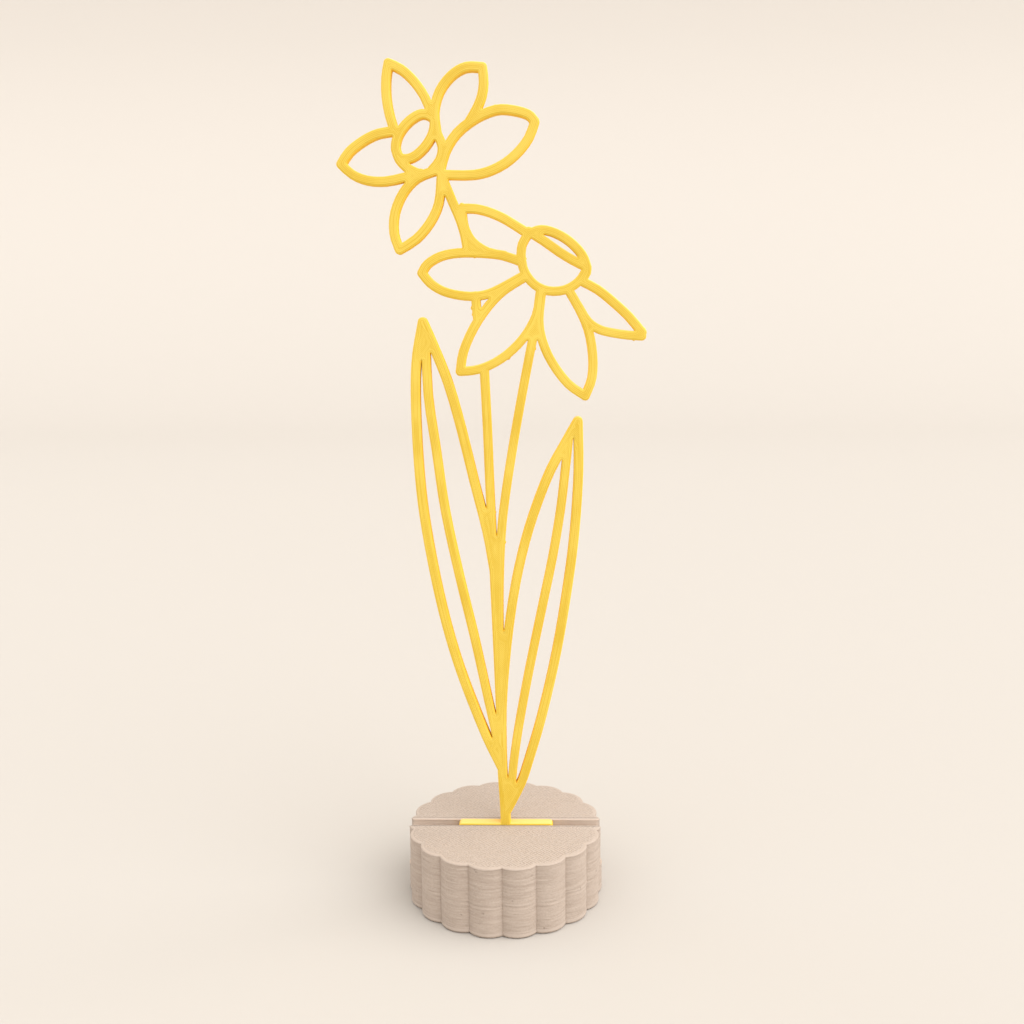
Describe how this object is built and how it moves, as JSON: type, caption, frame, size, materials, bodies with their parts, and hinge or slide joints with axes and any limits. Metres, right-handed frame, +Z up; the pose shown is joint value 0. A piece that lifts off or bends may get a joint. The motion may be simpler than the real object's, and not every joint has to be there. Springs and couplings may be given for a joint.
{
  "type": "printed daffodil ornament on a stand",
  "caption": "Flat daffodil cutout with two flowers, stems and long leaves, standing by its tab in the slot of a scalloped round base.",
  "frame": {"origin": "centre of the base's underside", "axes": "+Z up along the flower, +X to the right along the slot, +Y to the back through the plate's thickness"},
  "size_m": [0.0869, 0.0592, 0.2458],
  "materials": {
    "yellow_plastic": "silky printed plastic",
    "beige_plastic": "matte grainy printed plastic"
  },
  "bodies": {
    "root": {"flower_cutout": "yellow_plastic", "scalloped_base": "beige_plastic"}
  },
  "joints": []
}
